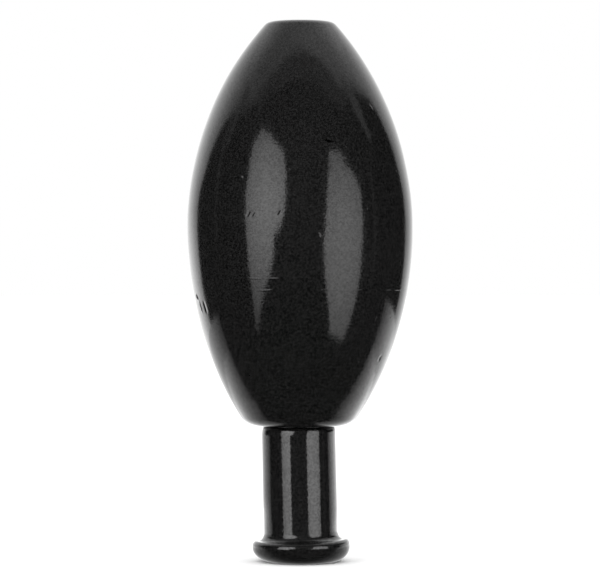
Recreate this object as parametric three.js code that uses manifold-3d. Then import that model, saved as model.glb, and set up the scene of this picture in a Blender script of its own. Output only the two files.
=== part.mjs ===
// A hand-squeezed rubber dust blower bulb for watchmakers: an egg-shaped air chamber with a flat
// upper end that holds the air inlet valve, and a short neck with a thick bead round its mouth.
// Millimetres, +Z up. The origin is the centre of the mouth's flat lower face, on which it stands.
import * as THREE from "three";
import { mergeVertices } from "three/addons/utils/BufferGeometryUtils.js";
import Module from "manifold-3d";

const wasm = await Module();
wasm.setup();

// ---- Driving dimensions ----
const HEIGHT = 102.8; // mouth face to flat inlet end
const BELLY_R = 21.4; // largest outer radius of the bulb
const BELLY_Z = 64.0; // height of the largest radius
const UPPER_ARC = 57.0; // radius of the side's outline above the belly
const LOWER_ARC = 69.0; // radius of the side's outline below the belly
const WALL = 2.6; // rubber thickness round the air chamber
const SHOULDER_Z = 25.7; // underside of the bulb, where the neck starts
const MOULD_Z = 51.5; // the mould's parting line
const NECK_R = 6.85;
const BORE_R = 3.9; // the tube socket through neck and mouth
const MOUTH_R = 9.3; // outside of the bead
const MOUTH_TALL = 4.6;
const MOUTH_FLAT_R = 6.7; // flat of the lower face
const INLET_WALL = 5.0; // rubber thickness at the inlet end
const SHOULDER_WALL = 4.0; // rubber thickness at the neck end

// Walls that the hand presses in, seen from the side as ellipses
const PAD_HALF_WIDE = 12.5;
const PAD_HALF_TALL = 18.0;
const PAD_GAP = 0.35; // clear space between a pressed wall and its surround

// Inlet valve
const FLANGE_R = 4.0;
const FLANGE_TALL = 0.85;
const FLANGE_SINK = 0.3; // how far the flange lies below the flat end
const BARREL_R = 3.25;
const BARB_R = 3.9;
const BARB_TALL = 1.2;
const VALVE_LONG = 6.2; // flange face to inner end
const FIT_GAP = 0.3; // clear space between rubber and valve body
const CHAMBER_R = 2.0; // room round the ball
const THROAT_R = 1.2; // the hole that the ball shuts
const BALL_R = 1.5;
const DISC_R = 2.5; // screen, ring and stop
const DISC_SEAT_R = 2.6; // the recesses they sit in
const STOP_TALL = 0.6;
const SCREEN_TALL = 0.2;
const RING_TALL = 0.4;
const RING_HOLE_R = 1.95;
const CLEAR = 0.05; // running and resting clearance inside the valve

// Facets round the axis
const ROUND_LARGE = 44;
const ROUND_SMALL = 24;

// ---- Materials ----
const rubber = new THREE.MeshStandardMaterial({ color: 0x161617, roughness: 0.28, metalness: 0 });
const ebonite = new THREE.MeshStandardMaterial({ color: 0x1b1a19, roughness: 0.35, metalness: 0 });
const steel = new THREE.MeshStandardMaterial({ color: 0xb9bcc0, roughness: 0.25, metalness: 1 });
const brass = new THREE.MeshStandardMaterial({ color: 0xb89a5a, roughness: 0.35, metalness: 1 });

// ---- Shape helpers ----
// A closed outline of (radius, height) points turned about Z.
function turned(path, segments, curveSteps = 4) {
  const outline = path.getPoints(curveSteps);
  if (outline[0].distanceTo(outline[outline.length - 1]) > 1e-6) outline.push(outline[0].clone());
  if (THREE.ShapeUtils.area(outline) < 0) outline.reverse(); // so that the faces point outwards
  return new THREE.LatheGeometry(outline, segments).rotateX(Math.PI / 2);
}

function solid(geometry) {
  const bare = geometry.index ? geometry.toNonIndexed() : geometry.clone();
  bare.deleteAttribute("normal");
  bare.deleteAttribute("uv");
  const merged = mergeVertices(bare, 1e-4);
  return new wasm.Manifold(
    new wasm.Mesh({
      numProp: 3,
      vertProperties: new Float32Array(merged.attributes.position.array),
      triVerts: new Uint32Array(merged.index.array),
    }),
  );
}

function geometryOf(manifold) {
  const mesh = manifold.getMesh();
  const geometry = new THREE.BufferGeometry();
  geometry.setAttribute("position", new THREE.BufferAttribute(mesh.vertProperties, 3));
  geometry.setIndex(new THREE.BufferAttribute(mesh.triVerts, 1));
  geometry.computeVertexNormals();
  return geometry;
}

// An upright round bar, from one height to another, for cutting holes.
function bar(radius, fromZ, toZ, segments, x = 0, y = 0) {
  const geometry = new THREE.CylinderGeometry(radius, radius, toZ - fromZ, segments);
  geometry.rotateX(Math.PI / 2);
  geometry.translate(x, y, (fromZ + toZ) / 2);
  return solid(geometry);
}

function named(name, geometry, material) {
  const mesh = new THREE.Mesh(geometry, material);
  mesh.name = name;
  return mesh;
}

// Radius of the bulb's outside, or of its chamber when inset by the wall, at a height.
function bulbRadius(z, inset = 0) {
  const arc = (z > BELLY_Z ? UPPER_ARC : LOWER_ARC) - inset;
  return BELLY_R - inset - arc + Math.sqrt(arc * arc - (z - BELLY_Z) ** 2);
}

// Runs a path along the side's outline, from one height to another.
function alongSide(path, fromZ, toZ, steps, inset = 0) {
  for (let i = 0; i <= steps; i++) {
    const z = fromZ + ((toZ - fromZ) * i) / steps;
    path.lineTo(bulbRadius(z, inset), z);
  }
}

// ---- Rubber bulb, moulded in two halves that meet at the mould line ----
const INSIDE_EDGE = 2.5; // rounding in the chamber's corners

function upperHalf() {
  const END_EDGE = 1.0; // rounding of the flat end's edge
  const ceiling = HEIGHT - INLET_WALL;
  const counterbore = HEIGHT - FLANGE_SINK - FLANGE_TALL - FIT_GAP;
  const outline = new THREE.Path();
  outline.moveTo(bulbRadius(MOULD_Z, WALL), MOULD_Z);
  alongSide(outline, MOULD_Z, ceiling - INSIDE_EDGE, 10, WALL);
  const corner = bulbRadius(ceiling, WALL);
  outline.quadraticCurveTo(corner, ceiling, corner - INSIDE_EDGE, ceiling);
  outline.lineTo(BARREL_R + FIT_GAP, ceiling);
  outline.lineTo(BARREL_R + FIT_GAP, counterbore);
  outline.lineTo(FLANGE_R + FIT_GAP, counterbore);
  outline.lineTo(FLANGE_R + FIT_GAP, HEIGHT);
  outline.lineTo(bulbRadius(HEIGHT) - END_EDGE, HEIGHT);
  outline.quadraticCurveTo(
    bulbRadius(HEIGHT),
    HEIGHT,
    bulbRadius(HEIGHT - END_EDGE),
    HEIGHT - END_EDGE,
  );
  alongSide(outline, HEIGHT - END_EDGE, MOULD_Z, 14);
  outline.closePath();
  return solid(turned(outline, ROUND_LARGE));
}

function lowerHalf() {
  const SHOULDER_EDGE = 2.0; // rounding where the side turns under to the neck
  const floor = SHOULDER_Z + SHOULDER_WALL;
  const outline = new THREE.Path();
  outline.moveTo(BORE_R, SHOULDER_Z);
  outline.lineTo(BORE_R, floor);
  const corner = bulbRadius(floor, WALL);
  outline.lineTo(corner - INSIDE_EDGE, floor);
  outline.quadraticCurveTo(corner, floor, bulbRadius(floor + INSIDE_EDGE, WALL), floor + INSIDE_EDGE);
  alongSide(outline, floor + INSIDE_EDGE, MOULD_Z, 5, WALL);
  alongSide(outline, MOULD_Z, SHOULDER_Z + SHOULDER_EDGE, 7);
  const shoulder = bulbRadius(SHOULDER_Z);
  outline.quadraticCurveTo(shoulder, SHOULDER_Z, shoulder - SHOULDER_EDGE, SHOULDER_Z);
  outline.closePath();
  return solid(turned(outline, ROUND_LARGE));
}

// The side wall alone, which the pressed walls are cut from.
function sideWall() {
  const top = BELLY_Z + PAD_HALF_TALL + 2;
  const bottom = BELLY_Z - PAD_HALF_TALL - 2;
  const outline = new THREE.Path();
  outline.moveTo(bulbRadius(bottom, WALL), bottom);
  alongSide(outline, bottom, top, 10, WALL);
  alongSide(outline, top, bottom, 10);
  outline.closePath();
  return solid(turned(outline, ROUND_LARGE));
}

// An elliptical bar along X through the bulb's sides, grown by a margin.
function padBar(margin, fromX, toX) {
  const face = new THREE.Shape();
  face.absellipse(0, 0, PAD_HALF_TALL + margin, PAD_HALF_WIDE + margin, 0, 2 * Math.PI);
  const geometry = new THREE.ExtrudeGeometry(face, {
    depth: toX - fromX,
    bevelEnabled: false,
    curveSegments: 12,
  });
  geometry.rotateY(Math.PI / 2); // the long axis of the ellipse now runs along Z
  geometry.translate(fromX, 0, BELLY_Z);
  return solid(geometry);
}

function rubberBulb() {
  const reach = BELLY_R + 5;
  const windows = padBar(PAD_GAP, -reach, reach);
  const pieces = {
    bulb_upper: upperHalf().subtract(windows),
    bulb_lower: lowerHalf().subtract(windows),
    thumb_wall: sideWall().intersect(padBar(0, -reach, 0)),
    finger_wall: sideWall().intersect(padBar(0, 0, reach)),
  };
  const group = new THREE.Group();
  for (const [name, piece] of Object.entries(pieces)) {
    group.add(named(name, geometryOf(piece), rubber));
  }
  return group;
}

// ---- Neck and mouth ----
function neckSleeve() {
  const TOP_ROUND = 0.8; // the neck's upper edge rounds in towards the bulb,
  const TOP_ROUND_TALL = 2.4; // over this height
  const FOOT = 1.0; // the hollow curve where the neck meets the bead,
  const FOOT_TALL = 1.7; // over this height
  const outline = new THREE.Path();
  outline.moveTo(BORE_R, MOUTH_TALL);
  outline.lineTo(NECK_R + FOOT, MOUTH_TALL);
  outline.quadraticCurveTo(NECK_R, MOUTH_TALL, NECK_R, MOUTH_TALL + FOOT_TALL);
  outline.lineTo(NECK_R, SHOULDER_Z - TOP_ROUND_TALL);
  outline.quadraticCurveTo(NECK_R, SHOULDER_Z, NECK_R - TOP_ROUND, SHOULDER_Z);
  outline.lineTo(BORE_R, SHOULDER_Z);
  outline.closePath();
  return named("neck_sleeve", turned(outline, ROUND_LARGE), rubber);
}

function mouthBead() {
  const TOP_EDGE = 0.8;
  const BORE_EDGE = 0.6;
  const widest = MOUTH_TALL - TOP_EDGE;
  const outline = new THREE.Path();
  outline.moveTo(BORE_R + BORE_EDGE, 0);
  outline.lineTo(MOUTH_FLAT_R, 0);
  outline.quadraticCurveTo(MOUTH_R, 0.1, MOUTH_R, widest);
  outline.quadraticCurveTo(MOUTH_R, MOUTH_TALL, MOUTH_R - TOP_EDGE, MOUTH_TALL);
  outline.lineTo(BORE_R, MOUTH_TALL);
  outline.lineTo(BORE_R, BORE_EDGE);
  outline.quadraticCurveTo(BORE_R, 0, BORE_R + BORE_EDGE, 0);
  outline.closePath();
  return named("mouth_bead", turned(outline, ROUND_LARGE), rubber);
}

// ---- Inlet valve, built downwards from its flange face at z = 0 of its own group ----
const SCREEN_SEAT = SCREEN_TALL + RING_TALL + 2 * CLEAR; // depth of the recess for screen and ring
const THROAT_END = SCREEN_SEAT + 1.1; // depth at which the throat opens into the ball's room
const CONE_END = THROAT_END + 0.7;
const STOP_SEAT = VALVE_LONG - STOP_TALL - CLEAR; // depth of the stop's upper face

function valveBody() {
  const outline = new THREE.Path();
  outline.moveTo(DISC_SEAT_R, 0);
  outline.lineTo(FLANGE_R - 0.2, 0);
  outline.quadraticCurveTo(FLANGE_R, 0, FLANGE_R, -0.2);
  outline.lineTo(FLANGE_R, -FLANGE_TALL);
  outline.lineTo(BARREL_R, -FLANGE_TALL);
  outline.lineTo(BARREL_R, -(VALVE_LONG - BARB_TALL));
  outline.lineTo(BARB_R, -(VALVE_LONG - BARB_TALL));
  outline.lineTo(BARREL_R, -VALVE_LONG);
  outline.lineTo(DISC_SEAT_R, -VALVE_LONG);
  outline.lineTo(DISC_SEAT_R, -STOP_SEAT);
  outline.lineTo(CHAMBER_R, -STOP_SEAT);
  outline.lineTo(CHAMBER_R, -CONE_END);
  outline.lineTo(THROAT_R, -THROAT_END);
  outline.lineTo(THROAT_R, -SCREEN_SEAT);
  outline.lineTo(DISC_SEAT_R, -SCREEN_SEAT);
  outline.closePath();
  return named("valve_body", turned(outline, ROUND_SMALL, 2), ebonite);
}

function valveBall() {
  const ball = named("valve_ball", new THREE.SphereGeometry(BALL_R, 18, 12), steel);
  ball.position.z = -(STOP_SEAT - BALL_R - CLEAR);
  return ball;
}

// A round plate with rings of small holes, its upper face at a depth.
function perforated(name, depth, tall, holeR, rings, material, sides) {
  let plate = bar(DISC_R, -depth - tall, -depth, ROUND_SMALL);
  for (const { count, radius } of rings) {
    for (let i = 0; i < count; i++) {
      const turn = (2 * Math.PI * i) / count;
      const x = radius * Math.cos(turn);
      const y = radius * Math.sin(turn);
      plate = plate.subtract(bar(holeR, -depth - tall - 1, -depth + 1, sides, x, y));
    }
  }
  return named(name, geometryOf(plate), material);
}

function valveStop() {
  return perforated("valve_stop", STOP_SEAT, STOP_TALL, 0.55, [{ count: 5, radius: 1.55 }], brass, 10);
}

function inletScreen() {
  const rings = [
    { count: 1, radius: 0 },
    { count: 6, radius: 0.55 },
    { count: 12, radius: 1.1 },
  ];
  return perforated("inlet_screen", SCREEN_SEAT - SCREEN_TALL, SCREEN_TALL, 0.16, rings, steel, 6);
}

function screenRing() {
  const bottom = -(RING_TALL + CLEAR);
  const outline = new THREE.Path();
  outline.moveTo(RING_HOLE_R, bottom);
  outline.lineTo(DISC_R, bottom);
  outline.lineTo(DISC_R, -CLEAR);
  outline.lineTo(RING_HOLE_R + 0.2, -CLEAR);
  outline.lineTo(RING_HOLE_R, -CLEAR - 0.2);
  outline.closePath();
  return named("screen_ring", turned(outline, ROUND_SMALL), brass);
}

function inletValve() {
  const valve = new THREE.Group();
  valve.add(valveBody(), valveBall(), valveStop(), inletScreen(), screenRing());
  valve.position.z = HEIGHT - FLANGE_SINK;
  return valve;
}

// ---- The whole blower bulb ----
const blowerBulb = new THREE.Group();
blowerBulb.add(rubberBulb(), neckSleeve(), mouthBead(), inletValve());

export default blowerBulb;
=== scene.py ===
"""A rubber dust blower bulb: moulded rubber skins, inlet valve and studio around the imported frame.

Outlines are worked out in millimetres, as (radius, height) pairs, and turned about Z into meshes
in metres. The bulb's skin is two halves, one for each wall that a hand presses in.
"""

import math

import bmesh
import bpy
import numpy as np
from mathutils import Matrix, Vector


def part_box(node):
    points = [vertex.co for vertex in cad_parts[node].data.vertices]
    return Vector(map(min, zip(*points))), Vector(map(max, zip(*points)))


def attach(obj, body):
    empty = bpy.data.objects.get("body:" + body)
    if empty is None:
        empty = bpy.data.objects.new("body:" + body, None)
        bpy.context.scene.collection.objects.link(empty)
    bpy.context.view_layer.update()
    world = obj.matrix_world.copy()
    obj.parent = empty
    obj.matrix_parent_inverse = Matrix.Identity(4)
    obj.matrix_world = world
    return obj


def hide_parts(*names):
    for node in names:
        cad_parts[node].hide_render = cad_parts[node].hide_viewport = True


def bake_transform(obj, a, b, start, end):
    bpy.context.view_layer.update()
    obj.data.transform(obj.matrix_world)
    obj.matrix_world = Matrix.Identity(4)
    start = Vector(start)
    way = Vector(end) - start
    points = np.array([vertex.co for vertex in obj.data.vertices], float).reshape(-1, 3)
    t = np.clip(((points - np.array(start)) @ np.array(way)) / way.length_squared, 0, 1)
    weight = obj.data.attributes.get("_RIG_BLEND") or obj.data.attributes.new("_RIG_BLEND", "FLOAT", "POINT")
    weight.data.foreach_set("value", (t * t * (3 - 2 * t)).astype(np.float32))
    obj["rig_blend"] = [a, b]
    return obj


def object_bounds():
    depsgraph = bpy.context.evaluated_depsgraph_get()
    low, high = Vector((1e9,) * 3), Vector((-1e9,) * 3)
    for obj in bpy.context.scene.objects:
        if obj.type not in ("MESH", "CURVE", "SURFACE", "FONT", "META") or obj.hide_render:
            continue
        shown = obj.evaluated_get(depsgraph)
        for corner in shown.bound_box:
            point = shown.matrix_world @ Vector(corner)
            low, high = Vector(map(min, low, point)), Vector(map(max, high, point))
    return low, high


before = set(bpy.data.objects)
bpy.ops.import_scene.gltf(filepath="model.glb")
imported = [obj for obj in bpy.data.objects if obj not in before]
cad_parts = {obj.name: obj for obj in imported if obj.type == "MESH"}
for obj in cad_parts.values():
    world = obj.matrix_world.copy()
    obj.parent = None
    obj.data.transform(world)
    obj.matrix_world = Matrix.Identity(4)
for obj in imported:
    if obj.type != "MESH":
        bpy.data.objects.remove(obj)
cad_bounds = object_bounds()

MM = 0.001


def size_of(node):
    """A CAD node's lowest and highest corner, in millimetres."""
    low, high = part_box(node)
    return low / MM, high / MM


# ---- Sizes in millimetres; the same driving sizes as the CAD's ----
HEIGHT = cad_bounds[1].z / MM
BELLY_R = cad_bounds[1].x / MM
BELLY_Z = 64.0  # height of the largest radius
UPPER_ARC = 57.0  # radius of the side's outline above the belly
LOWER_ARC = 69.0  # and below it
WALL = 2.6  # rubber thickness round the air chamber
SHOULDER_Z = size_of("bulb_lower")[0].z  # underside of the bulb
MOULD_Z = size_of("bulb_lower")[1].z  # the mould's parting line
MOUTH_TALL = size_of("mouth_bead")[1].z
MOUTH_R = size_of("mouth_bead")[1].x
NECK_R = 7.05  # 0.2 mm over the CAD's, and closer to the photograph
BORE_R = 3.9  # the nozzle's socket through mouth and neck
CEILING_Z = HEIGHT - 5.0  # the chamber's top
FLOOR_Z = SHOULDER_Z + 4.0  # and its bottom
VALVE_LOW, VALVE_HIGH = size_of("valve_body")
FLANGE_Z = VALVE_HIGH.z  # the valve's outer face
FLANGE_R = VALVE_HIGH.x
FLANGE_TALL = 0.85
FIT_GAP = 0.3  # clear space between the rubber and the valve

# ---------------------------------------------------------------- outlines


def arc(centre, radii, start, end, step=0.25):
    """Points of an ellipse's arc, from one angle to another, in degrees."""
    long = max(radii)
    count = max(4, math.ceil(abs(math.radians(end - start)) * long / step))
    angles = np.radians(np.linspace(start, end, count + 1))
    return np.stack(
        [centre[0] + radii[0] * np.cos(angles), centre[1] + radii[1] * np.sin(angles)], -1
    )


def path(*parts, step=0.6):
    """One outline from arcs and single points, its straight runs cut into steps."""
    points = np.concatenate([np.atleast_2d(np.asarray(p, float)) for p in parts])
    out = [points[0]]
    for p in points[1:]:
        last = out[-1]
        gap = np.linalg.norm(p - last)
        if gap < 1e-4:
            continue
        pieces = math.ceil(gap / step)
        out.extend([last + (p - last) * k / pieces for k in range(1, pieces + 1)])
    if np.linalg.norm(out[0] - out[-1]) < 1e-4:
        out.pop()
    return np.array(out)


def finer(outline, heights):
    """The same outline with close points added about some heights."""
    z = outline[:, 1]
    offsets = np.array([-0.34, -0.24, -0.17, -0.11, -0.055, 0, 0.055, 0.11, 0.17, 0.24, 0.34])
    closest = 0.03
    wanted = np.sort(np.concatenate([z] + [h + offsets for h in heights]))
    keep = np.concatenate([[True], np.diff(wanted) > closest])
    wanted = wanted[keep & (wanted > z[0]) & (wanted < z[-1])]
    middle = np.stack([np.interp(wanted, z, outline[:, 0]), wanted], -1)
    return np.concatenate([outline[:1], middle, outline[-1:]])


def barrel(inset, bottom, top, bottom_round, top_round, step):
    """The bulb's side, two arcs with rounded ends, from its lower face up to its upper one."""
    parts = []
    for face, rounding, full in ((bottom, bottom_round, LOWER_ARC), (top, top_round, UPPER_ARC)):
        radius = full - inset
        side = 1 if face > BELLY_Z else -1
        angle = math.asin((face - side * rounding - BELLY_Z) / (radius - rounding))
        axis = BELLY_R - full
        centre = (axis + (radius - rounding) * math.cos(angle), face - side * rounding)
        turn = math.degrees(angle)
        end = arc(centre, (rounding, rounding), turn, 90 * side, min(step, rounding / 8))
        long = arc((axis, BELLY_Z), (radius, radius), 0, turn, step)
        whole = np.concatenate([long, end[1:]])
        parts.append(whole if side > 0 else whole[::-1])
    return np.concatenate([parts[0], parts[1][1:]])


# ------------------------------------------------------- grids turned about Z


def unit(vectors):
    return vectors / np.maximum(np.linalg.norm(vectors, axis=-1, keepdims=True), 1e-12)


def grid_normals(points):
    """Outward normals of a grid of points that closes on itself along and around."""
    along = unit(np.roll(points, -1, 0) - points) + unit(points - np.roll(points, 1, 0))
    around = np.roll(points, -1, 1) - np.roll(points, 1, 1)
    return unit(np.cross(around, along))


def turned(outline, columns, front=0.0):
    """A closed outline turned about Z. front packs the columns closer on the -Y side."""
    u = np.arange(columns) * 2 * math.pi / columns
    angles = u - front * np.cos(u)
    radius, height = outline[:, :1], outline[:, 1:]
    flat = np.ones_like(angles)
    return np.stack([radius * np.cos(angles), radius * np.sin(angles), height * flat], -1)


def linked(name, data):
    """A new object of that mesh or camera, in the scene."""
    obj = bpy.data.objects.new(name, data)
    bpy.context.scene.collection.objects.link(obj)
    return obj


def built_mesh(name, built):
    """A mesh from a bmesh, which is freed."""
    mesh = bpy.data.meshes.new(name)
    built.to_mesh(mesh)
    built.free()
    return mesh


def shade_smooth(mesh):
    mesh.polygons.foreach_set("use_smooth", np.ones(len(mesh.polygons), bool))


def grid_mesh(name, points, normals, columns=None):
    """An object from a grid in millimetres. columns keeps only those columns of it."""
    closed = columns is None
    if not closed:
        points, normals = points[:, columns], normals[:, columns]
    rows, count = points.shape[:2]
    i = np.arange(rows)[:, None]
    j = np.arange(count if closed else count - 1)[None, :]
    nxt_i, nxt_j = (i + 1) % rows, (j + 1) % count
    faces = np.stack(
        [i * count + j, i * count + nxt_j, nxt_i * count + nxt_j, nxt_i * count + j], -1
    )
    mesh = bpy.data.meshes.new(name)
    mesh.from_pydata((points.reshape(-1, 3) * MM).tolist(), [], faces.reshape(-1, 4).tolist())
    shade_smooth(mesh)
    mesh.normals_split_custom_set_from_vertices(normals.reshape(-1, 3).tolist())
    mesh.validate()
    return linked(name, mesh)


def lathe(name, outline, columns=96):
    """An object turned about Z from a closed outline in millimetres."""
    points = turned(outline, columns)
    return grid_mesh(name, points, grid_normals(points))


# ------------------------------------------------- the rubber's irregularities


def smoothstep(value, low, high):
    """0 below low, 1 above high, and a smooth rise between them."""
    t = np.clip((value - low) / (high - low), 0, 1)
    return t * t * (3 - 2 * t)


def ripple(points, wavelength, seed, waves=12):
    """A smooth random field of about -1 to 1, whose waves are about that long."""
    rng = np.random.default_rng(seed)
    directions = unit(rng.normal(size=(waves, 3)))
    numbers = 2 * math.pi / wavelength * rng.uniform(0.7, 1.4, (waves, 1))
    phases = rng.uniform(0, 2 * math.pi, waves)
    return np.sin(points @ (directions * numbers).T + phases).sum(-1) / math.sqrt(2 * waves)


def on_bulb(x, z):
    """The point of the bulb's outside at that x and height, on the -Y side."""
    radius = UPPER_ARC if z > BELLY_Z else LOWER_ARC
    r = BELLY_R - radius + math.sqrt(radius**2 - (z - BELLY_Z) ** 2)
    return np.array([x, -math.sqrt(max(r * r - x * x, 0)), z])


def groove(points, centre, length, width, turn):
    """How near points are to a short groove: 1 on its line and 0 away from it.

    turn is its slope from level, in degrees, as seen from outside.
    """
    outward = unit(np.array([centre[0], centre[1], 0.0]))
    level = np.cross([0, 0, 1], outward)
    c, s = math.cos(math.radians(turn)), math.sin(math.radians(turn))
    offset = points - centre
    along = offset @ (level * c + np.array([0, 0, s]))
    across = offset @ (np.array([0, 0, c]) - level * s)
    away = offset @ outward  # keeps the groove off the bulb's far side
    shape = (along / (length / 2)) ** 4 + (across / (width / 2)) ** 2 + (away / 2) ** 2
    return np.exp(-shape)


RIDGES = (MOULD_Z + 2.5, MOULD_Z + 0.3)  # heights of the flash lines left by the mould

# x, height, length, width, slope and depth of the nicks seen from the front; a negative depth
# stands proud
NICKS = [
    (-9.5, 65.9, 1.0, 0.28, 60, 0.07),
    (-8.7, 65.8, 1.0, 0.28, 58, 0.07),
    (-3.7, 66.0, 0.8, 0.28, 62, 0.06),
    (14.8, 38.9, 1.1, 0.6, 70, 0.12),
    (-12.3, 57.1, 0.8, 0.35, 75, -0.06),
    (-10.9, 72.8, 0.8, 0.35, -40, -0.06),
    (13.4, 85.8, 1.0, 0.35, -70, -0.06),
    (13.8, 46.5, 1.3, 0.35, 80, -0.06),
    (11.7, 47.6, 0.7, 0.35, 85, -0.05),
    (3.4, 62.1, 1.0, 0.35, -65, -0.04),
    (-1.1, 50.2, 2.2, 0.25, 28, -0.03),
    (-19.3, 50.4, 1.2, 0.45, -50, -0.22),
    (-18.6, 48.6, 2.4, 0.45, -75, -0.12),
    (-17.7, 48.6, 2.2, 0.7, -75, 0.10),
]

# Places and half sizes of open air bubbles, which are in the material, being too small for the
# mesh. Their dark insides are painted shade: all gloss is taken away there.
BUBBLE_SHADE_SPOTS = [
    (on_bulb(5.6, 79.3), (0.85, 1.0, 0.28)),
    (on_bulb(4.9, 79.5), (0.45, 1.0, 0.18)),
]


def mould_line(points):
    """The trimmed flash: fine ridges, uneven round the bulb."""
    tall, half_width = 0.030, 0.08
    ridges = 0.0
    for seed, height in enumerate(RIDGES):
        wander = 0.10 * ripple(points, 15, 41 + seed) + 0.05 * ripple(points, 4, 51 + seed)
        strength = 0.25 + 0.8 * ripple(points, 3.5, 31 + seed)
        off = points[..., 2] - height - wander
        ridges = ridges + np.exp(-((off / half_width) ** 2)) * np.clip(strength, 0.0, 1.2)
    return tall * ridges


def moulded(points, normals):
    """The bulb's skin as the mould and the trimming knife left it."""
    x, y, z = np.moveaxis(points, -1, 0)
    off_axis = smoothstep(np.hypot(x, y), 5.2, 7.0)
    off_neck = smoothstep(z, 26.4, 29)
    off_top = smoothstep(-z, -HEIGHT + 0.4, -HEIGHT + 3)
    outside = off_axis * off_neck * off_top
    lift = 0.030 * ripple(points, 38, 1) + 0.011 * ripple(points, 13, 2)
    lift = lift + 0.0022 * ripple(points, 4.2, 3) + mould_line(points)
    for nx, nz, length, width, slope, depth in NICKS:
        lift = lift - depth * groove(points, on_bulb(nx, nz), length, width, slope)
    return points + normals * (lift * outside)[..., None]


# The moulding leans and swells a little: height, x of its axis, and added radius
DRIFT = np.array([
    (0, 0.32, 0.08), (6, 0.14, 0.04), (24, -0.25, 0.0), (27, -0.15, 0.15), (31, -0.08, 0.27),
    (36, 0.0, 0.29), (44, 0.02, 0.23), (50, 0.08, 0.17), (57, 0.06, 0.11), (66, -0.02, 0.05),
    (76, -0.02, -0.10), (85, 0.0, -0.10), (94, 0.0, -0.04), (HEIGHT, 0.08, 0.0),
])


def leaned(points):
    """The points moved as DRIFT says. The neck's foot and bead also tilt a little, up to the
    right."""
    slope = 0.025
    z = points[..., 2]
    shift, wider = (np.interp(z, DRIFT[:, 0], DRIFT[:, k]) for k in (1, 2))
    radius = np.maximum(np.hypot(points[..., 0], points[..., 1]), 1.0)
    wider = wider * smoothstep(radius, 5.0, 7.0) / radius
    points = points * np.stack([1 + wider, 1 + wider, np.ones_like(wider)], -1)
    tilt = slope * smoothstep(z, 0.2, 3) * (1 - smoothstep(z, 6, 14))
    out = points.copy()
    out[..., 0] += shift
    out[..., 2] += points[..., 0] * tilt
    return out


# ------------------------------------------------------------------ materials


def new_material(name):
    mat = bpy.data.materials.new(name)
    mat.use_nodes = True
    tree = mat.node_tree
    return mat, tree, tree.nodes["Principled BSDF"]


def emptied_tree(owner):
    """The node tree of a material or world, with nothing in it."""
    owner.use_nodes = True
    owner.node_tree.nodes.clear()
    return owner.node_tree


def add(tree, kind, inputs=None, **settings):
    """A new node, its settings, and its inputs from values or from other nodes' sockets."""
    node = tree.nodes.new(kind)
    for key, value in settings.items():
        setattr(node, key, value)
    for key, value in (inputs or {}).items():
        if isinstance(value, bpy.types.NodeSocket):
            tree.links.new(value, node.inputs[key])
        else:
            node.inputs[key].default_value = value
    return node


def maths(tree, operation, *values, clamp=False):
    """A Math node's output. MULTIPLY_ADD gives the first value times the second, plus the third."""
    node = add(tree, "ShaderNodeMath", dict(enumerate(values)), operation=operation)
    node.use_clamp = clamp
    return node.outputs[0]


def noise(tree, where, scale, detail=3.0, roughness=0.55, stretch=None):
    """Noise in about 0 to 1, with scale waves to the metre. stretch scales each axis first."""
    if stretch:
        where = add(tree, "ShaderNodeMapping", {"Vector": where, "Scale": stretch}).outputs[0]
    inputs = {"Vector": where, "Scale": scale, "Detail": detail, "Roughness": roughness}
    return add(tree, "ShaderNodeTexNoise", inputs).outputs["Fac"]


def ramp(tree, value, low, high, to_low=0.0, to_high=1.0):
    """to_low below low, to_high above high, and a smooth rise or fall between them."""
    inputs = {"Value": value, 1: low, 2: high, 3: to_low, 4: to_high}
    return add(tree, "ShaderNodeMapRange", inputs, interpolation_type="SMOOTHSTEP").outputs[0]


def mixed(tree, amount, first, second):
    """A colour between two, by the colour sockets of a Mix node: 0, 6 and 7 in, and 2 out."""
    node = add(tree, "ShaderNodeMix", {0: amount, 6: first, 7: second}, data_type="RGBA")
    return node.outputs[2]


def spot(tree, where, place, radii):
    """1 inside a small ellipsoid and 0 outside. Sizes in millimetres."""
    off = add(tree, "ShaderNodeVectorMath", {0: where, 1: tuple(place * MM)}, operation="SUBTRACT")
    scale = tuple(1 / (r * MM) for r in radii)
    off = add(tree, "ShaderNodeVectorMath", {0: off.outputs[0], 1: scale}, operation="MULTIPLY")
    off = add(tree, "ShaderNodeVectorMath", {0: off.outputs[0]}, operation="LENGTH")
    return ramp(tree, off.outputs["Value"], 0.75, 1.1, 1.0, 0.0)


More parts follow.
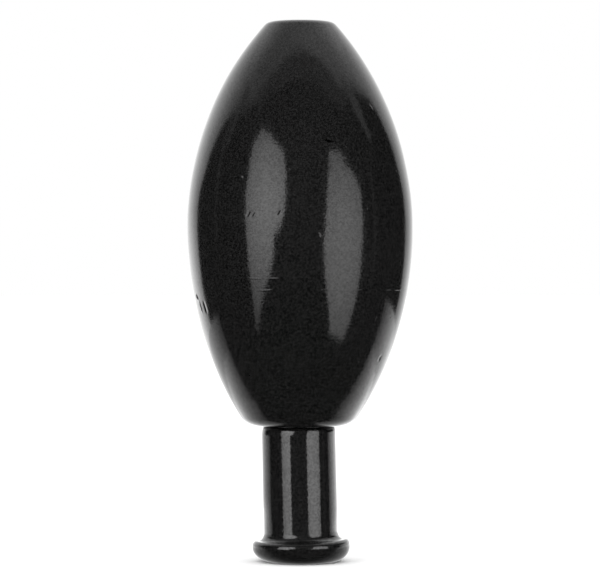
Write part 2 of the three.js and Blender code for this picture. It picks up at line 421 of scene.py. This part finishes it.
def rubber(name, ior):
    """Polished black rubber: fine grain, level mould marks, hazy patches, pits and some lint.
    The open air bubbles have painted shade in them: no gloss at all.
    """
    darkest, palest = (0.0018, 0.0018, 0.0018, 1), (0.0126, 0.0125, 0.0124, 1)
    bloom, lint_grey = (0.0120, 0.0119, 0.0117, 1), (0.09, 0.088, 0.084, 1)
    seam_z = (MOULD_Z + 1.4) * MM  # between the two flash lines
    mat, tree, shader = new_material(name)
    where = add(tree, "ShaderNodeTexCoord").outputs["Object"]
    grain = noise(tree, where, 3000, 1.0, 0.6)
    peel = noise(tree, where, 1500, 1.0)
    marks = noise(tree, where, 1.0, 2.0, stretch=(200, 200, 2600))
    cells = add(tree, "ShaderNodeTexVoronoi", {"Vector": where, "Scale": 640.0})
    pits = ramp(tree, cells.outputs["Distance"], 0.06, 0.15, 1.0, 0.0)
    rare = ramp(tree, cells.outputs["Color"], 0.80, 0.84)
    pits = maths(tree, "MULTIPLY", pits, rare)
    haze = ramp(tree, noise(tree, where, 55, 4.0, 0.6), 0.42, 0.72)
    lint = ramp(tree, peel, 0.79, 0.81)
    height = add(tree, "ShaderNodeSeparateXYZ", {0: where}).outputs["Z"]
    seam = maths(tree, "ABSOLUTE", maths(tree, "SUBTRACT", height, seam_z))
    seam = ramp(tree, seam, 0.001, 0.006, 1.0, 0.0)

    # Grains of about a quarter of a millimetre have less gloss. The open air bubbles get none at all,
    # which paints the shade inside those pits. A black metal reflects almost nothing, so Metallic
    # takes gloss away without blurring it.
    fine = ramp(tree, grain, 0.35, 0.65)
    crumbs = add(tree, "ShaderNodeTexVoronoi", {"Vector": where, "Scale": 4200.0}).outputs["Color"]
    dull = ramp(tree, maths(tree, "MULTIPLY_ADD", grain, 0.9, crumbs), 0.5, 1.5, 0.0, 0.5)
    # Painted shade inside the open air bubbles: no gloss at all there.
    for place, radii in BUBBLE_SHADE_SPOTS:
        dull = maths(tree, "MAXIMUM", dull, spot(tree, where, place, radii))
    tree.links.new(dull, shader.inputs["Metallic"])
    black = mixed(tree, fine, darkest, palest)
    black = mixed(tree, maths(tree, "MULTIPLY", haze, 0.25), black, bloom)
    colour = mixed(tree, maths(tree, "MULTIPLY", lint, 0.3), black, lint_grey)
    tree.links.new(colour, shader.inputs["Base Color"])

    rough = maths(tree, "MULTIPLY_ADD", haze, 0.03, 0.06)
    rough = maths(tree, "MULTIPLY_ADD", fine, 0.03, rough)
    rough = maths(tree, "MULTIPLY_ADD", dull, 0.10, rough)
    rough = maths(tree, "MULTIPLY_ADD", pits, 0.2, rough)
    tree.links.new(rough, shader.inputs["Roughness"])

    # The bump's heights are in millimetres. The level marks are deepest at the seam.
    height = maths(tree, "MULTIPLY", grain, 0.0040)
    height = maths(tree, "MULTIPLY_ADD", peel, 0.0060, height)
    strength = maths(tree, "MULTIPLY_ADD", seam, 0.010, 0.003)
    height = maths(tree, "MULTIPLY_ADD", marks, strength, height)
    height = maths(tree, "MULTIPLY_ADD", pits, -0.010, height)
    bump = add(tree, "ShaderNodeBump", {"Height": height, "Distance": MM, "Strength": 1.0})
    tree.links.new(bump.outputs[0], shader.inputs["Normal"])
    shader.inputs["IOR"].default_value = ior
    return mat


def turned_metal(name, colour, dull, metallic=1.0, rough=0.25):
    """Lathe-turned metal or hard rubber: rings round the axis, with a duller tone in patches."""
    mat, tree, shader = new_material(name)
    where = add(tree, "ShaderNodeTexCoord").outputs["Object"]
    x, y, _ = add(tree, "ShaderNodeSeparateXYZ", {0: where}).outputs
    squares = maths(tree, "ADD", maths(tree, "MULTIPLY", x, x), maths(tree, "MULTIPLY", y, y))
    radius = maths(tree, "SQRT", squares)
    spread = add(tree, "ShaderNodeCombineXYZ", {0: maths(tree, "MULTIPLY", radius, 9000)})
    rings = noise(tree, spread.outputs[0], 1.0, 2.0)
    patches = ramp(tree, noise(tree, where, 700, 4.0), 0.4, 0.7)
    tree.links.new(mixed(tree, patches, colour, dull), shader.inputs["Base Color"])
    level = maths(tree, "ADD", rough, maths(tree, "MULTIPLY", patches, 0.2))
    tree.links.new(level, shader.inputs["Roughness"])
    height = maths(tree, "ADD", rings, maths(tree, "MULTIPLY", patches, 0.3))
    bump = add(tree, "ShaderNodeBump", {"Height": height, "Distance": 0.004 * MM})
    tree.links.new(bump.outputs[0], shader.inputs["Normal"])
    shader.inputs["Metallic"].default_value = metallic
    return mat


bulb_rubber = rubber("bulb_rubber", 1.5)
neck_rubber = rubber("neck_rubber", 1.62)
hard_rubber = turned_metal(
    "hard_rubber", (0.012, 0.0115, 0.011, 1), (0.022, 0.020, 0.018, 1), 0.0, 0.3
)
steel = turned_metal("steel", (0.55, 0.55, 0.57, 1), (0.36, 0.35, 0.34, 1))
brass = turned_metal("brass", (0.60, 0.45, 0.20, 1), (0.36, 0.26, 0.12, 1), 1.0, 0.28)


def finish_piece(obj, material, slot, *replaced):
    """Gives a piece its material and hides the CAD nodes it replaces. slot is not used."""
    obj.data.materials.append(material)
    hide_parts(*replaced)


# ---------------------------------------------------------------- rubber skins

SEAT_R = FLANGE_R + FIT_GAP  # the recess round the valve's flange
SEAT_Z = FLANGE_Z - FLANGE_TALL - FIT_GAP
HOLE_R = 3.55  # the hole for the valve's barrel
CREASE_R = 6.3  # where neck and bulb meet
JOINT_Z = SHOULDER_Z + 0.15  # the bulb's underside
NECK_TOP = JOINT_Z - 0.2  # end of the neck's side
EDGE = 0.3  # rounding of the recess's upper edge
NOTCH = 0.1  # chamfers in the recess
TOP_Z = HEIGHT - 0.1  # the flat inlet end


def bulb_outline():
    round_low, round_high, round_inside = 3.4, 2.1, 2.5
    side = finer(barrel(0, JOINT_Z, TOP_Z, round_low, round_high, 0.26), RIDGES)
    inside = barrel(WALL, FLOOR_Z, CEILING_Z, round_inside, round_inside, 1.8)[::-1]
    return path(
        (BORE_R, JOINT_Z),
        (CREASE_R, JOINT_Z),
        side,
        arc((SEAT_R + EDGE, TOP_Z - EDGE), (EDGE, EDGE), 90, 180, 0.05),
        (SEAT_R, SEAT_Z + NOTCH),
        (SEAT_R - NOTCH, SEAT_Z),
        (HOLE_R + NOTCH, SEAT_Z),
        (HOLE_R, SEAT_Z - NOTCH),
        (HOLE_R, CEILING_Z),
        inside,
        (BORE_R, FLOOR_Z),
        step=0.45,
    )


def neck_outline():
    foot = (1.0, 1.5)  # the hollow curve at the neck's foot
    bead_z, bead_top = 3.1, MOUTH_TALL - 0.4  # the bead's widest place and its top
    flat = 5.7  # radius of the mouth's flat face
    edge = (0.85, bead_top - bead_z)  # the bead's upper edge
    lip = 0.5  # rounding of the bore's mouth
    edge_high = (0.45, 1.9)  # the worn edge at the neck's top
    return path(
        (BORE_R + lip, 0),
        (flat, 0),
        arc((flat, bead_z), (MOUTH_R - flat, bead_z), -90, 0, 0.15),
        arc((MOUTH_R - edge[0], bead_z), edge, 0, 90, 0.12),
        arc((NECK_R + foot[0], bead_top + foot[1]), foot, 270, 180, 0.15),
        arc((NECK_R - edge_high[0], NECK_TOP - edge_high[1]), edge_high, 0, 88, 0.08),
        (CREASE_R, JOINT_Z),
        (BORE_R, JOINT_Z),
        arc((BORE_R + lip, lip), (lip, lip), 180, 270, 0.1),
        step=0.35,
    )


def squeeze_falloff(z):
    """How much of a squeeze reaches each height, most at the belly and none at the ends."""
    reach = 35.0
    return np.cos(np.clip((z / MM - BELLY_Z) / reach, -1, 1) * math.pi / 2) ** 2


COLUMNS = 480
NECK_COLUMNS = 256
bulb_points = turned(bulb_outline(), COLUMNS, front=0.35)
bulb_points = leaned(moulded(bulb_points, grid_normals(bulb_points)))
bulb_normals = grid_normals(bulb_points)
quarter = COLUMNS // 4
halves = {
    "rubber_bulb_finger_side": ("finger_wall", 1, np.arange(-quarter, quarter + 1) % COLUMNS),
    "rubber_bulb_thumb_side": ("thumb_wall", -1, np.arange(quarter, 3 * quarter + 1)),
}
for name, (wall, side, columns) in halves.items():
    half = grid_mesh(name, bulb_points, bulb_normals, columns)
    finish_piece(half, bulb_rubber, "rubber", "bulb_upper", "bulb_lower", wall)
    belly = Vector((side * BELLY_R, 0, BELLY_Z)) * MM
    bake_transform(half, "bulb", wall, start=(0, 0, belly.z), end=belly)
    weights = half.data.attributes["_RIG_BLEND"].data
    share = np.zeros(len(weights), np.float32)
    places = np.zeros(len(weights) * 3, np.float32)
    weights.foreach_get("value", share)
    half.data.vertices.foreach_get("co", places)
    weights.foreach_set("value", (share * squeeze_falloff(places[2::3])).astype(np.float32))

neck_points = leaned(turned(neck_outline(), NECK_COLUMNS))
uneven = 0.012 * ripple(neck_points, 16, 21) * smoothstep(neck_points[..., 2], 0.5, 3)
neck_points = neck_points + grid_normals(neck_points) * uneven[..., None]
neck = grid_mesh("rubber_neck", neck_points, grid_normals(neck_points))
finish_piece(neck, neck_rubber, "rubber", "neck_sleeve", "mouth_bead")
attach(neck, "bulb")

# ----------------------------------------------------------------- inlet valve

DISC_SEAT_R = 2.6  # the recesses for screen, ring and stop
RECESS = 0.7  # depth of the recess for screen and ring
VALVE_END = VALVE_LOW.z
SCREEN_LOW, SCREEN_HIGH = size_of("inlet_screen")
RING_LOW, RING_HIGH = size_of("screen_ring")
BALL_LOW, BALL_HIGH = size_of("valve_ball")
STOP_HIGH = size_of("valve_stop")[1]


def bush_outline():
    chamfer, edge = 0.12, 0.25
    barrel_r, barb_r, barb_tall = 3.25, 3.9, 1.2
    chamber_r, throat_r = 2.0, 1.2  # the ball's room, and the hole that the ball shuts
    cone_top, cone_end = FLANGE_Z - RECESS - 1.1, FLANGE_Z - RECESS - 1.8
    return path(
        (DISC_SEAT_R, VALVE_END),
        (barrel_r, VALVE_END),
        (barb_r, VALVE_END + barb_tall),
        (barrel_r, VALVE_END + barb_tall + 0.05),
        (barrel_r, FLANGE_Z - FLANGE_TALL),
        (FLANGE_R, FLANGE_Z - FLANGE_TALL),
        arc((FLANGE_R - edge, FLANGE_Z - edge), (edge, edge), 0, 90, 0.04),
        (DISC_SEAT_R + chamfer, FLANGE_Z),
        (DISC_SEAT_R, FLANGE_Z - chamfer),
        (DISC_SEAT_R, FLANGE_Z - RECESS),
        (throat_r, FLANGE_Z - RECESS),
        (throat_r, cone_top),
        (chamber_r, cone_end),
        (chamber_r, STOP_HIGH.z),
        (DISC_SEAT_R, STOP_HIGH.z),
        step=0.12,
    )


def ring_outline():
    hole_r, outer_r = 1.95, RING_HIGH.x
    chamfer, edge = 0.14, 0.05
    return path(
        (hole_r, RING_LOW.z),
        (outer_r, RING_LOW.z),
        (outer_r, RING_HIGH.z - edge),
        (outer_r - edge, RING_HIGH.z),
        (hole_r + chamfer, RING_HIGH.z),
        (hole_r, RING_HIGH.z - chamfer),
        step=0.08,
    )


def woven_screen():
    """Fine steel gauze: two crossed sets of wires, each passing over and under in turn."""
    wire, pitch, sides = 0.085, 0.34, 6
    weave = 0.495 * wire  # how far a wire rises and falls from the middle
    rim_gap = 0.05
    reach = SCREEN_HIGH.x
    middle = (SCREEN_LOW.z + SCREEN_HIGH.z) / 2
    count = int(reach / pitch)
    vertices, faces = [], []
    for turned_over in (False, True):
        for k in range(-count, count + 1):
            across = k * pitch
            half = math.sqrt(max(reach**2 - across**2, 0)) - rim_gap
            if half < pitch:
                continue
            steps = math.ceil(2 * half / (pitch / 6))
            start = len(vertices)
            for s in range(steps + 1):
                along = -half + 2 * half * s / steps
                over = math.cos(math.pi * along / pitch) * (-1 if (k + turned_over) % 2 else 1)
                height = middle + weave * over
                for a in range(sides):
                    turn = 2 * math.pi * a / sides
                    side = across + wire / 2 * math.cos(turn)
                    up = height + wire / 2 * math.sin(turn)
                    place = (side, along, up) if turned_over else (along, side, up)
                    vertices.append(tuple(c * MM for c in place))
            for s in range(steps):
                for a in range(sides):
                    b = (a + 1) % sides
                    low, high = start + s * sides, start + (s + 1) * sides
                    quad = (low + a, low + b, high + b, high + a)
                    faces.append(quad if turned_over else quad[::-1])
            last = start + steps * sides
            near_end = tuple(range(start, start + sides))
            far_end = tuple(range(last, last + sides))
            faces.append(near_end[::-1] if turned_over else near_end)
            faces.append(far_end if turned_over else far_end[::-1])
    mesh = bpy.data.meshes.new("inlet_gauze")
    mesh.from_pydata(vertices, [], faces)
    shade_smooth(mesh)
    return linked("inlet_gauze", mesh)


def ball():
    centre = (BALL_LOW + BALL_HIGH) / 2
    radius = (BALL_HIGH.z - BALL_LOW.z) / 2
    built = bmesh.new()
    bmesh.ops.create_icosphere(built, subdivisions=4, radius=radius)
    bmesh.ops.translate(built, verts=built.verts, vec=centre)
    bmesh.ops.scale(built, verts=built.verts, vec=(MM, MM, MM))
    mesh = built_mesh("ball_bearing", built)
    shade_smooth(mesh)
    return linked("ball_bearing", mesh)


bush = lathe("valve_bush", bush_outline())
finish_piece(bush, hard_rubber, "valve_black", "valve_body")
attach(bush, "bulb")

ring = lathe("gauze_ring", ring_outline())
finish_piece(ring, brass, "brass", "screen_ring")
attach(ring, "bulb")

gauze = woven_screen()
finish_piece(gauze, steel, "steel", "inlet_screen")
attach(gauze, "bulb")

bearing = ball()
finish_piece(bearing, steel, "steel", "valve_ball")
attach(bearing, "valve_ball")

# The CAD's own stop shows, in a better material
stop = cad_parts["valve_stop"]
stop.data.materials.clear()
stop.data.materials.append(brass)

# ---------------------------------------------------------- floor, light, camera

WHITE = (1, 1, 1, 1)


def floor_disc():
    """Pale paper under the object. The reflections show low_surround in its place."""
    built = bmesh.new()
    bmesh.ops.create_circle(built, cap_ends=True, segments=96, radius=4.0)
    obj = linked("floor", built_mesh("floor", built))
    mat, tree, shader = new_material("floor_paper")
    where = add(tree, "ShaderNodeTexCoord").outputs["Object"]
    tone = mixed(tree, noise(tree, where, 40, 3.0), (0.93, 0.93, 0.93, 1), (0.95, 0.95, 0.95, 1))
    tree.links.new(tone, shader.inputs["Base Color"])
    shader.inputs["Roughness"].default_value = 0.9
    shader.inputs["Specular IOR Level"].default_value = 0.0
    obj.data.materials.append(mat)
    obj.visible_glossy = False


def towards(azimuth, elevation, distance=0.9):
    """The place that far from the belly. Azimuth 0 is towards the camera, positive its right."""
    a, e = math.radians(azimuth), math.radians(elevation)
    way = Vector((math.sin(a) * math.cos(e), -math.cos(a) * math.cos(e), math.sin(e)))
    return Vector((0, 0, BELLY_Z * MM)) + way * distance


def softbox(name, corners, strength, hot=None, falloff=0.0):
    """A lit panel seen from the belly between corners at (azimuth, elevation) in degrees. It
    is brightest at hot, and fades with the distance from there as fast as falloff says."""
    places = [towards(*corner) for corner in corners]
    mesh = bpy.data.meshes.new(name)
    mesh.from_pydata(places, [], [tuple(range(len(places)))])
    obj = linked(name, mesh)
    mat = bpy.data.materials.new(name)
    tree = emptied_tree(mat)
    lamp = add(tree, "ShaderNodeEmission", {"Color": WHITE, "Strength": strength})
    if hot:
        where = add(tree, "ShaderNodeNewGeometry").outputs["Position"]
        off = add(tree, "ShaderNodeVectorMath", {0: where, 1: towards(*hot)}, operation="DISTANCE")
        off = maths(tree, "POWER", off.outputs["Value"], 2.0)
        level = maths(tree, "POWER", math.exp(-falloff), off)
        tree.links.new(maths(tree, "MULTIPLY", level, strength), lamp.inputs["Strength"])
    out = add(tree, "ShaderNodeOutputMaterial")
    tree.links.new(lamp.outputs[0], out.inputs["Surface"])
    mesh.materials.append(mat)
    obj.visible_camera = False
    obj.visible_shadow = False


def low_surround():
    """A shallow tray round the base, white behind and beside it, which only reflections show."""
    radius, tall, sides = 0.1, 0.026, 96
    rim_rise = 0.003  # how much higher its right side is than its middle
    sink = 0.0005  # below the floor, so that it isn't flush with the mouth
    built = bmesh.new()
    loops = [
        bmesh.ops.create_circle(built, cap_ends=False, segments=sides, radius=radius)["verts"]
        for _ in range(2)
    ]
    for v in loops[1]:
        v.co.z = tall + rim_rise * v.co.x / radius
    bmesh.ops.bridge_loops(built, edges=built.edges[:])
    built.faces.new(loops[0])
    mesh = built_mesh("low_surround", built)
    obj = linked("low_surround", mesh)
    obj.location.z = -sink
    mat = bpy.data.materials.new("low_surround")
    tree = emptied_tree(mat)
    where = add(tree, "ShaderNodeTexCoord").outputs["Object"]
    x, y, z = add(tree, "ShaderNodeSeparateXYZ", {0: where}).outputs

    # White starts just in front of the axis, and further back beyond 40 mm to each side
    beyond = maths(tree, "SUBTRACT", maths(tree, "ABSOLUTE", x), 0.040)
    beyond = maths(tree, "MAXIMUM", beyond, 0.0)
    depth = maths(tree, "MULTIPLY_ADD", beyond, -0.35, maths(tree, "ADD", y, 0.004))
    white = ramp(tree, depth, -0.005, 0.001)

    # It brightens towards the back and the right, and its rim is dimmer than its bottom
    fall = math.exp(-1 / 0.042)
    level = maths(tree, "POWER", fall, maths(tree, "MAXIMUM", depth, 0.0))
    level = maths(tree, "MULTIPLY_ADD", level, -2.5, 3.0)
    level = maths(tree, "MULTIPLY", level, maths(tree, "MULTIPLY_ADD", x, 1.6, 1.0))
    rim = ramp(tree, z, 0.0002, 0.004)
    level = maths(tree, "MULTIPLY", level, maths(tree, "MULTIPLY_ADD", rim, -0.35, 1.0))
    level = maths(tree, "MULTIPLY_ADD", level, white, 0.02)

    # The part in front is dark near the base and isn't there further out
    off = add(tree, "ShaderNodeVectorMath", {0: where}, operation="LENGTH").outputs["Value"]
    near = ramp(tree, off, 0.045, 0.050, 1.0, 0.0)
    shown = maths(tree, "MAXIMUM", white, near)
    clear = add(tree, "ShaderNodeBsdfTransparent")
    lamp = add(tree, "ShaderNodeEmission", {"Color": WHITE, "Strength": level})
    both = add(tree, "ShaderNodeMixShader", {0: shown, 1: clear.outputs[0], 2: lamp.outputs[0]})
    out = add(tree, "ShaderNodeOutputMaterial")
    tree.links.new(both.outputs[0], out.inputs["Surface"])
    mesh.materials.append(mat)
    obj.visible_camera = obj.visible_diffuse = obj.visible_shadow = False


def studio_world():
    """A white room with a dark front: paper behind the object, a pale ceiling, and for what the
    camera sees directly, plain white."""
    world = bpy.data.worlds.new("studio")
    bpy.context.scene.world = world
    tree = emptied_tree(world)
    world.cycles.sampling_method = "NONE"
    way = add(tree, "ShaderNodeTexCoord").outputs["Generated"]
    flat_x, flat_y, up = add(tree, "ShaderNodeSeparateXYZ", {0: way}).outputs
    z = maths(tree, "MULTIPLY_ADD", up, 1.015, -0.05)  # the room's horizon is 3 degrees up

    # The paper ends in two edges that open out upwards, soft higher up. Its middle is 3.5
    # degrees off straight behind.
    turn = {0: way, "Angle": math.radians(-3.5)}
    turn = add(tree, "ShaderNodeVectorRotate", turn, rotation_type="Z_AXIS").outputs[0]
    x, y, _ = add(tree, "ShaderNodeSeparateXYZ", {0: turn}).outputs
    high = maths(tree, "MAXIMUM", maths(tree, "SUBTRACT", z, 0.06), 0.0)
    high = maths(tree, "MULTIPLY", high, maths(tree, "MULTIPLY_ADD", flat_x, -0.2, 1.1))
    high = maths(tree, "MULTIPLY", high, ramp(tree, z, 0.35, 0.6, 1.0, 1.5))
    wall = maths(tree, "MULTIPLY_ADD", y, 1.07, high)
    wall = maths(tree, "SUBTRACT", wall, maths(tree, "ABSOLUTE", x))
    sharp = ramp(tree, z, 0.30, 0.60, 1.0, 0.33)
    wall = maths(tree, "MULTIPLY", maths(tree, "ADD", wall, 0.03), sharp)

    # Its front limit leans forward with height
    ceiling = maths(tree, "MULTIPLY_ADD", z, 0.34, maths(tree, "SUBTRACT", flat_y, 0.018))
    ceiling = maths(tree, "MULTIPLY_ADD", flat_x, -0.04, ceiling)
    paper = ramp(tree, maths(tree, "MINIMUM", wall, ceiling), -0.04, 0.07)

    # Its brightness: more behind, less low on the right, more below the horizon, less at the
    # edges
    level = maths(tree, "MULTIPLY_ADD", ramp(tree, flat_y, -0.1, 0.5), 0.82, 0.76)
    side = maths(tree, "MULTIPLY_ADD", z, 1.15, -0.40)
    level = maths(tree, "MULTIPLY_ADD", flat_x, side, level)
    level = maths(tree, "MULTIPLY", level, ramp(tree, z, -0.15, 0.0, 1.3, 1.0))
    level = maths(tree, "MULTIPLY", level, ramp(tree, wall, 0.0, 0.45, 0.68, 1.06))

    # The dark front's own faint light, and a pale patch overhead
    beam = ramp(tree, maths(tree, "MULTIPLY_ADD", z, 0.60, flat_y), -0.05, 0.04, 0.0, 0.2)
    beam = maths(tree, "MULTIPLY", beam, maths(tree, "GREATER_THAN", z, 0.6))
    front = maths(tree, "MAXIMUM", maths(tree, "MULTIPLY", flat_y, -1.0), 0.0)
    dim = maths(tree, "MULTIPLY", front, maths(tree, "MULTIPLY_ADD", z, 1.0, 0.6, clamp=True))
    dim = maths(tree, "MULTIPLY_ADD", dim, 0.12, 0.025)
    dim = maths(tree, "ADD", dim, beam)
    seen = maths(tree, "MULTIPLY_ADD", paper, level, dim)

    rays = add(tree, "ShaderNodeLightPath").outputs
    room = add(tree, "ShaderNodeBackground", {"Strength": seen}).outputs[0]
    soft = add(tree, "ShaderNodeBackground", {"Color": WHITE, "Strength": 1.45}).outputs[0]
    plain = add(tree, "ShaderNodeBackground", {"Color": WHITE, "Strength": 1.0}).outputs[0]
    light = {0: rays["Is Diffuse Ray"], 1: room, 2: soft}
    light = add(tree, "ShaderNodeMixShader", light).outputs[0]
    whole = {0: rays["Is Camera Ray"], 1: light, 2: plain}
    whole = add(tree, "ShaderNodeMixShader", whole).outputs[0]
    out = add(tree, "ShaderNodeOutputWorld")
    tree.links.new(whole, out.inputs["Surface"])


def camera():
    """The photograph's view, from the bows of the mould lines, the shoulder and the bead."""
    data = bpy.data.cameras.new("camera")
    obj = linked("camera", data)
    away, level = 0.6, 0.058  # distance and height of the lens
    aim = 0.0514  # height at the picture's middle
    obj.location = (0, -away, level)
    obj.rotation_euler = (math.pi / 2 - math.atan((level - aim) / away), 0, 0)
    data.sensor_width = 36
    data.lens = 189.15  # the object fills the frame as it fills the photograph
    data.clip_start, data.clip_end = 0.05, 20
    bpy.context.scene.camera = obj


floor_disc()
softbox(
    "softbox_left",
    [(-57, 30), (-48, 35), (-36, 34), (-19, 28), (-15, 23), (-14, 10), (-17.5, 2), (-20, -0.5),
     (-26, -2.5), (-27, -9.5), (-39, -20), (-54, -31), (-54, -12.5), (-57, 5)],
    3.7, (-33, 9), 3.7,
)
softbox(
    "softbox_right",
    [(34, 28), (46, 26.5), (61, 18.5), (65.5, 13.5), (66, -1), (63, -24), (57, -33.5),
     (38, -33), (26, -15), (24, -6.5), (28, 12), (31.5, 22)],
    3.0, (41, -2), 2.7,
)
softbox("gap_left", [(-104, 30.5), (-101, 30.5), (-91.5, -3), (-93, -3)], 0.25)
softbox("gap_left_high", [(-98, 42), (-88, 40), (-93, 24), (-96, 22)], 0.3)
softbox("gap_right", [(80.5, 17), (82.5, 17), (82, -13.5), (80, -13.5)], 0.25)
softbox("gap_high", [(80, 49), (92, 43), (95, 24), (92, 24), (83, 34)], 0.45)
low_surround()
studio_world()
camera()
bpy.context.scene.view_settings.view_transform = "Standard"
